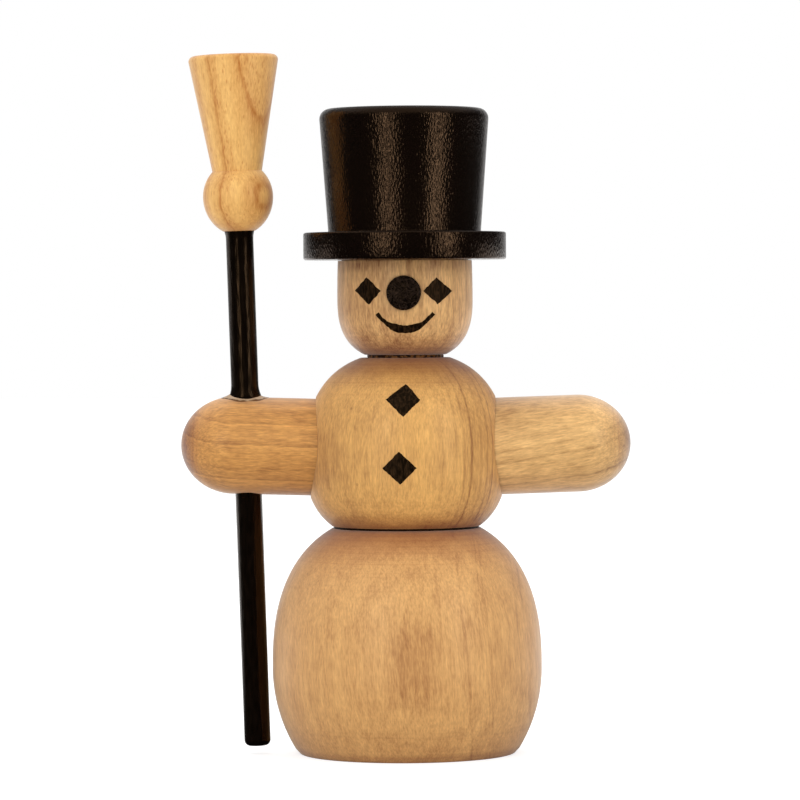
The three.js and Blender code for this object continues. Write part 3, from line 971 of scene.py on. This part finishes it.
free_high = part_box("free_arm")[1]
arm_tip_length = 9.8 * MM
arm_start = socket_floor + 0.3 * MM
arm_reach = free_high.x / free_axis.x
arm_end_easing = 0.2 * MM
arm_middle = 28 * MM
arm_facets = 128
arm_outline = [
    (0, arm_start),
    (arm_radius - arm_end_easing, arm_start),
    (arm_radius, arm_start + arm_end_easing),
    *swelling((arm_radius, arm_reach - arm_tip_length), (0, arm_reach), 2.0, 40),
]
free_maple = turned_wood(
    "turned_maple_free_arm", early="#ecba74", late="#9c692d", end="#cf9a58",
    centre=arm_crossing + free_axis * arm_middle, out=Vector((0.0, -0.16, 0.98)),
    grain=Vector((1, 0, 0.175)), axis=free_axis, reach=14, pith=45, wander=0.7,
    # The ring lines are the grain's own, but their darkness fades to none on the upper side, so the
    # arm's top is paler: a painted highlight.
    years=[
        (-14, 0.2, 0), (-7.8, 0.2, 0), (-7.4, 0.34, 0), (-7, 0.2, 0), (-4.5, 0.24, 0),
        (-4.1, 0.66, 0), (-3.8, 0.24, 0), (-2.6, 0.16, 0), (-2.2, 0.34, 0), (-1.9, 0.12, 0),
        (0.5, 0.14, 0), (0.9, 0.44, 0), (1.2, 0.12, 0), (2.5, 0.1, 0), (2.9, 0.32, 0),
        (3.2, 0.06, 0), (4.5, 0.05, 0), (4.8, 0.2, 0), (5.2, 0.0, 0), (14, 0.0, 0),
    ],
    cuts_and_shade=[
        (-14, 0.2, 0), (-12, 0, 0), (8.6, 0, 0), (10.2, 0.14, 0), (11, 0.1, 0), (11.4, 0.22, 0),
        (14, 0.26, 0),
    ],
    fibre=0.3, cloud=0.13, sheen=0.6, seed=15.0,
)
finish_piece(
    lay_along(turned(arm_outline, arm_facets), free_axis, arm_crossing), "free_arm_rod", free_maple,
    "free_side", "free_arm",
)


# ------------------------------------------------------------------ broom arm
# The other arm, the same rod in a redder wood, bored right through across its grain for the
# broomstick. It turns with the broom on its own hidden dowel.

stick_low, stick_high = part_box("broom_stick")
stick_radius = 2.5 * MM
stick_lean = math.radians(1.65)
stick_axis = Vector((-math.sin(stick_lean), 0, math.cos(stick_lean)))
stick_end = Vector((
    stick_low.x + stick_radius * stick_axis.z, 0, stick_high.z + stick_radius * stick_axis.x,
))
crossing = intersect_line_line(
    arm_crossing, arm_crossing + broom_axis, stick_end - stick_axis, stick_end,
)[0]
stick_hole_radius = stick_radius + 0.1 * MM

arm_alder = turned_wood(
    "turned_alder_broom_arm", early="#dd9d4e", late="#8f521a", end="#be7a3a",
    centre=arm_crossing + broom_axis * arm_middle, out=Vector((0, -0.14, 0.99)), grain=broom_axis,
    axis=broom_axis, reach=14, pith=45, wander=0.6,
    years=[
        (-14, 0.3, 0), (-7.5, 0.25, 0), (-5.0, 0.24, 0), (-4.75, 0.0, 0), (-4.5, 0.0, 0),
        (-4.3, 0.5, 0), (-3.9, 0.24, 0), (-2.2, 0.24, 0), (-1.9, 0.4, 0), (-1.6, 0.22, 0),
        (0.6, 0.14, 0), (1.85, 0.12, 0), (2.1, 0.0, 0), (2.3, 0.0, 0), (2.5, 0.5, 0),
        (2.9, 0.24, 0), (4.0, 0.12, 0), (5.3, 0.1, 0), (5.5, 0.0, 0), (5.65, 0.0, 0),
        (5.85, 0.4, 0), (6.3, 0.18, 0), (7.6, 0.26, 0), (7.9, 0.12, 0), (14, 0.2, 0),
    ],
    cuts_and_shade=[(-14, 0.1, 0), (-12, 0, 0), (9, 0, 0), (10.6, 0.14, 0), (14, 0.2, 0)],
    fibre=0.32, cloud=0.16, seed=18.0,
)
broom_arm = finish_piece(
    lay_along(turned(arm_outline, arm_facets), broom_axis, arm_crossing), "broom_arm_rod", arm_alder,
    "broom_side", "broom_arm",
)
hole_outline = [
    (0, -arm_radius * 2),
    (stick_hole_radius, -arm_radius * 2),
    (stick_hole_radius, arm_radius * 2),
    (0, arm_radius * 2),
]
bore(broom_arm, lay_along(turned(hole_outline, peg_facets), stick_axis, crossing))


# ------------------------------------------------------------------ broomstick
# A 5 mm dowel lacquered black, a shade thinner towards its rounded foot. The lacquer ran
# down it while wet, and stands in a small glossy flare on the arm and under the broom.

stick_foot_gap = 1.45 * MM
stick_foot_radius = 2.42 * MM
stick_rounding = 1.1 * MM
stick_above_arm = 39.8 * MM
stick_bottom = -(crossing.z - stick_foot_gap) / stick_axis.z
stick_top = (stick_end - crossing).length
stick_in_broom = stick_radius - 0.02 * MM
stick_facets = 64
# Radius and rise in millimetres of the lacquer's flare on the arm, and of that under the broom.
lower_flare = [
    (2.9, -0.4), (2.98, 0.05), (2.94, 0.35), (2.78, 0.75), (2.62, 1.4), (2.54, 2.2),
]
upper_flare = [(2.54, -1.5), (2.6, -0.8), (2.72, -0.3), (2.76, 0.1)]
stick_outline = [
    (0, stick_bottom),
    *rounding(stick_foot_radius - stick_rounding, stick_bottom + stick_rounding, stick_rounding, -90, 0),
    (stick_radius, arm_radius - 1.0 * MM),
    *[(radius * MM, arm_radius + rise * MM) for radius, rise in lower_flare],
    *[(radius * MM, stick_above_arm + rise * MM) for radius, rise in upper_flare],
    (stick_in_broom, stick_above_arm + 0.6 * MM),
    (stick_in_broom, stick_top),
    (0, stick_top),
]
stick_lacquer = sprayed_lacquer(
    "sprayed_black_lacquer_stick", "#0a0604", "#c2996f", crossing, axis=stick_axis,
    speckle=(0.34, 2.6), depth=0.05, roughness=0.22, seed=5.0,
)
finish_piece(
    lay_along(turned(stick_outline, stick_facets), stick_axis, crossing), "broomstick", stick_lacquer,
    "broom_side", "broom_stick",
)


# ------------------------------------------------------------------ glue at the broomstick
# Wood glue squeezed out where the stick enters the arm. It lies on the round of the arm as
# a thin saddle, climbs the stick a little, and is darker brown along its edge.

glue_reach = Vector((4.6, 3.7, 1)) * MM
glue_unevenness = 0.09
# The smear's outline: share of its reach, and millimetres above the arm.
glue_outline = [
    (0.52, 0.85), (0.58, 0.6), (0.66, 0.4), (0.75, 0.24), (0.85, 0.12), (0.94, 0.05), (1.0, -0.02),
    (1.0, -0.15), (0.52, -0.2), (0.52, 0.85),
]
stick_side = Vector((stick_axis.z, 0, -stick_axis.x))


def on_arm(x, y):
    """Point of the broom arm's upper side above the crossing, x and y off the stick's axis.

    It starts at the arm's radius and steps up or down until it lies on the round of the arm.
    """
    height = arm_radius
    for step in range(8):
        spot = crossing + stick_side * x + Vector((0, y, 0)) + stick_axis * height
        along = (spot - arm_crossing).dot(broom_axis)
        off_axis = (spot - arm_crossing - broom_axis * along).length
        height += radius_at(arm_outline, along) - off_axis
    return spot


def smeared_glue(name, clear, darker_colour):
    """Hardened wood glue smeared thin on wood: clear and glossy, darker brown along its edge."""
    material, tree, shader = new_material(name)
    place = add_node(tree, "ShaderNodeTexCoord")
    turn = Matrix((stick_side, (0, 1, 0), stick_axis))
    joint = add_node(tree, "ShaderNodeMapping", {
        "Vector": place.outputs["Object"],
        "Location": turn @ (-crossing / MM),
        "Rotation": turn.to_euler(),
        "Scale": (1 / MM, 1 / MM, 1 / MM),
    }).outputs[0]
    share = add_node(tree, "ShaderNodeVectorMath", {
        0: joint, 1: (MM / glue_reach.x, MM / glue_reach.y, 0),
    }, operation="MULTIPLY")
    out = add_node(tree, "ShaderNodeVectorMath", {0: share.outputs[0]}, operation="LENGTH")
    blots = add_node(tree, "ShaderNodeTexNoise", {"Vector": joint, "Scale": 1 / 0.9, "Detail": 3.0})
    uneven = add_node(tree, "ShaderNodeMath", {
        0: blots.outputs["Fac"], 1: 0.3, 2: out.outputs["Value"],
    }, operation="MULTIPLY_ADD")
    rim = add_node(tree, "ShaderNodeMapRange", {
        "Value": uneven.outputs[0], "From Min": 1.0, "From Max": 1.12,
    }, interpolation_type="SMOOTHSTEP")
    colour = add_node(tree, "ShaderNodeMix", {
        0: rim.outputs[0], 6: linear(clear), 7: linear(darker_colour),
    }, data_type="RGBA")
    tree.links.new(colour.outputs[2], shader.inputs["Base Color"])
    relief = add_node(tree, "ShaderNodeBump", {
        "Height": blots.outputs["Fac"], "Strength": 0.5, "Distance": 0.2 * MM,
    })
    tree.links.new(relief.outputs[0], shader.inputs["Normal"])
    shader.inputs["Roughness"].default_value = 0.22
    return material


stick_glue = turned([(radius, height * MM) for radius, height in glue_outline], peg_facets)
for corner in stick_glue.verts:
    spread = 1 + glue_unevenness * noise.noise(Vector((corner.co.x, corner.co.y, 0)) * 2)
    x = corner.co.x * glue_reach.x * spread
    y = corner.co.y * glue_reach.y * spread
    corner.co = on_arm(x, y) + stick_axis * corner.co.z
bmesh.ops.recalc_face_normals(stick_glue, faces=stick_glue.faces)
finish_piece(
    stick_glue, "stick_glue", smeared_glue("smeared_wood_glue", "#c6a685", "#6a482c"),
    "broom_side",
)


# ------------------------------------------------------------------ broom head
# The broom's brush, a flared cone, and the ball under it are turned in one piece from ash.
# Ash has wide years with a coarse band of open pores at the start of each.

ball_radius = 6.5 * MM
ball_height = 11.1 * MM
ball_widest = 6.35 * MM
mouth_radius = 2.95 * MM
mouth_depth = 0.5 * MM
groove_radius = 4.6 * MM
broom_length = 32.55 * MM
broom_top_radius = 8.3 * MM
broom_rounding = 1.0 * MM
broom_mouth = crossing + stick_axis * stick_above_arm
broom_equator = (ball_radius, ball_widest)
broom_edge = (broom_top_radius - broom_rounding, broom_length - broom_rounding)
broom_outline = [
    (0, mouth_depth),
    (stick_radius, mouth_depth),
    (mouth_radius, 0),
    *reversed(swelling(broom_equator, (mouth_radius, 0), 2.0)[:-1]),
    *swelling(broom_equator, (groove_radius, ball_height), 2.0)[1:],
    *rounding(*broom_edge, broom_rounding, 0, 90, 8),
    (0, broom_length),
]
broom_ash = turned_wood(
    "turned_ash_broom", early="#f9c16c", late="#c4761f", end="#dfa452",
    centre=broom_mouth, out=Vector((0.79, -0.62, 0)), grain=stick_axis, axis=stick_axis,
    reach=9.5, pith=70, wander=0.35,
    years=[
        (-9.5, 0.16, 0.2), (-4.0, 0.26, 0), (-3.1, 0.4, 0), (-2.8, 0.66, 0), (-2.6, 0.34, 0.9),
        (-1.7, 0.26, 0.5), (-1.2, 0.06, 0.05), (0.2, 0.14, 0), (1.0, 0.42, 0), (1.35, 0.8, 0),
        (1.55, 0.36, 1), (2.7, 0.24, 0.6), (3.2, 0.04, 0.05), (4.6, 0.14, 0), (5.8, 0.42, 0),
        (6.25, 0.85, 0), (6.45, 0.36, 1), (7.8, 0.3, 0.9), (8.4, 0.3, 0.5), (9.5, 0.34, 0.4),
    ],
    pores=0.5, fibre=0.24, cloud=0.08, marks=0.2, roughness=0.5, seed=21.0,
)
finish_piece(
    lay_along(turned(broom_outline, arm_facets), stick_axis, broom_mouth), "broom_brush", broom_ash,
    "broom_side", "broom_head",
)


# ------------------------------------------------------------------ studio
# A plain white floor and backdrop, two upright softboxes in front, a wide one behind and
# above, and a long lens at the height of the face.

look_at = Vector((-1.04, 0, 65.5)) * MM
camera_at = Vector((-1.04, -820, 84)) * MM
camera_roll = math.radians(-0.36)
lens_mm = 198.9
sensor_mm = 36
floor_reach = 3
# Azimuth and elevation in degrees, distance, width and height in metres, and brightness.
softboxes = {
    "softbox_left": (-24, 8, 1.0, 0.15, 1.1, 3.7),
    "softbox_right": (48, 8, 1.0, 0.17, 1.1, 4.0),
    "softbox_above": (180, 60, 0.95, 0.9, 0.5, 3.2),
}
fill_left = 1.01
fill_right = 0.72
floor_glow = 0.75
floor_shade = 0.45


def softbox(name, azimuth, elevation, distance, width, height, brightness):
    """A lamp box that faces the figure, as bright as a white wall times its brightness."""
    data = bpy.data.lights.new(name, "AREA")
    data.shape = "RECTANGLE"
    data.size = width
    data.size_y = height
    data.energy = brightness * math.pi * width * height
    lamp = bpy.data.objects.new(name, data)
    bpy.context.scene.collection.objects.link(lamp)
    turn, rise = math.radians(azimuth), math.radians(elevation)
    level = Vector((math.sin(turn), -math.cos(turn), 0))
    away = level * math.cos(rise) + UP * math.sin(rise)
    lamp.location = look_at + away * distance
    lamp.rotation_euler = (-away).to_track_quat("-Z", "Y").to_euler()
    lamp.visible_camera = False


for name, facts in softboxes.items():
    softbox(name, *facts)
# The box above only lights the figure: the lacquer doesn't mirror it.
bpy.data.objects["softbox_above"].visible_glossy = False

floor_mesh = bmesh.new()
bmesh.ops.create_grid(floor_mesh, x_segments=1, y_segments=1, size=floor_reach)
floor_data = bpy.data.meshes.new("floor")
floor_mesh.to_mesh(floor_data)
floor_mesh.free()
floor = bpy.data.objects.new("floor", floor_data)
bpy.context.scene.collection.objects.link(floor)

# White paper: as the lens and the lacquer see it, it glows white and keeps a soft shadow. The
# lacquer sees it only behind the figure, because a black card lies in front, out of view.
paper = bpy.data.materials.new("white_paper_floor")
paper.use_nodes = True
tree = paper.node_tree
tree.nodes.remove(tree.nodes["Principled BSDF"])
path = add_node(tree, "ShaderNodeLightPath")
mirrored = add_node(tree, "ShaderNodeMath", {
    0: path.outputs["Is Glossy Ray"], 1: path.outputs["Is Transmission Ray"],
}, operation="MAXIMUM")
paper_place = add_node(tree, "ShaderNodeTexCoord")
paper_sides = add_node(tree, "ShaderNodeSeparateXYZ", {"Vector": paper_place.outputs["Object"]})
paper_behind = add_node(tree, "ShaderNodeMapRange", {
    "Value": paper_sides.outputs["Y"], "From Min": 0.0, "From Max": 0.12,
}, interpolation_type="SMOOTHSTEP")
seen = add_node(tree, "ShaderNodeMath", {
    0: mirrored.outputs[0], 1: paper_behind.outputs[0], 2: path.outputs["Is Camera Ray"],
}, operation="MULTIPLY_ADD", use_clamp=True)
glow = add_node(tree, "ShaderNodeEmission", {"Strength": floor_glow})
shadow = add_node(tree, "ShaderNodeBsdfDiffuse", {
    "Color": (floor_shade, floor_shade, floor_shade, 1),
})
seen_paper = add_node(tree, "ShaderNodeAddShader", {0: glow.outputs[0], 1: shadow.outputs[0]})
card = add_node(tree, "ShaderNodeMix", {
    0: mirrored.outputs[0], 6: (0.62, 0.62, 0.62, 1), 7: (0.02, 0.02, 0.02, 1),
}, data_type="RGBA")
unseen_paper = add_node(tree, "ShaderNodeBsdfDiffuse", {"Color": card.outputs[2]})
either = add_node(tree, "ShaderNodeMixShader", {
    0: seen.outputs[0], 1: unseen_paper.outputs[0], 2: seen_paper.outputs[0],
})
tree.links.new(either.outputs[0], tree.nodes["Material Output"].inputs["Surface"])
floor_data.materials.append(paper)

# The room: white for the lens. The lacquer sees it pale straight behind the figure, faintly
# lit overhead and dark elsewhere. As light on the figure it is brighter from the left.
world = bpy.data.worlds.new("studio")
bpy.context.scene.world = world
world.use_nodes = True
tree = world.node_tree
room = tree.nodes["Background"]
path = add_node(tree, "ShaderNodeLightPath")
toward = add_node(tree, "ShaderNodeTexCoord")
sides = add_node(tree, "ShaderNodeSeparateXYZ", {"Vector": toward.outputs["Generated"]})
behind = add_node(tree, "ShaderNodeMapRange", {
    "Value": sides.outputs["Y"], "From Min": 0.73, "From Max": 1.05, "To Min": 0.03, "To Max": 0.8,
}, interpolation_type="SMOOTHSTEP")
mirrored = add_node(tree, "ShaderNodeMath", {
    0: path.outputs["Is Glossy Ray"], 1: path.outputs["Is Transmission Ray"],
}, operation="MAXIMUM")
overhead = add_node(tree, "ShaderNodeMapRange", {
    "Value": sides.outputs["Z"], "From Min": 0.3, "From Max": 0.8, "To Min": 0.02, "To Max": 0.4,
}, interpolation_type="SMOOTHSTEP")
around = add_node(tree, "ShaderNodeMath", {
    0: behind.outputs[0], 1: overhead.outputs[0],
}, operation="MAXIMUM")
fill = add_node(tree, "ShaderNodeMapRange", {
    "Value": sides.outputs["X"], "From Min": -0.7, "From Max": 0.7,
    "To Min": fill_left, "To Max": fill_right,
})
as_light = add_node(tree, "ShaderNodeMix", {
    0: mirrored.outputs[0], 2: fill.outputs[0], 3: around.outputs[0],
})
strength = add_node(tree, "ShaderNodeMix", {
    0: path.outputs["Is Camera Ray"], 2: as_light.outputs[0], 3: 1.0,
})
room.inputs["Color"].default_value = (1, 1, 1, 1)
tree.links.new(strength.outputs[0], room.inputs["Strength"])

lens = bpy.data.cameras.new("camera")
lens.lens = lens_mm
lens.sensor_width = sensor_mm
lens.clip_start = 0.01
camera = bpy.data.objects.new("camera", lens)
bpy.context.scene.collection.objects.link(camera)
camera.location = camera_at
aim = (look_at - camera_at).to_track_quat("-Z", "Y").to_matrix()
camera.rotation_euler = (aim @ Matrix.Rotation(camera_roll, 3, "Z")).to_euler()
bpy.context.scene.camera = camera
bpy.context.scene.view_settings.view_transform = "Standard"
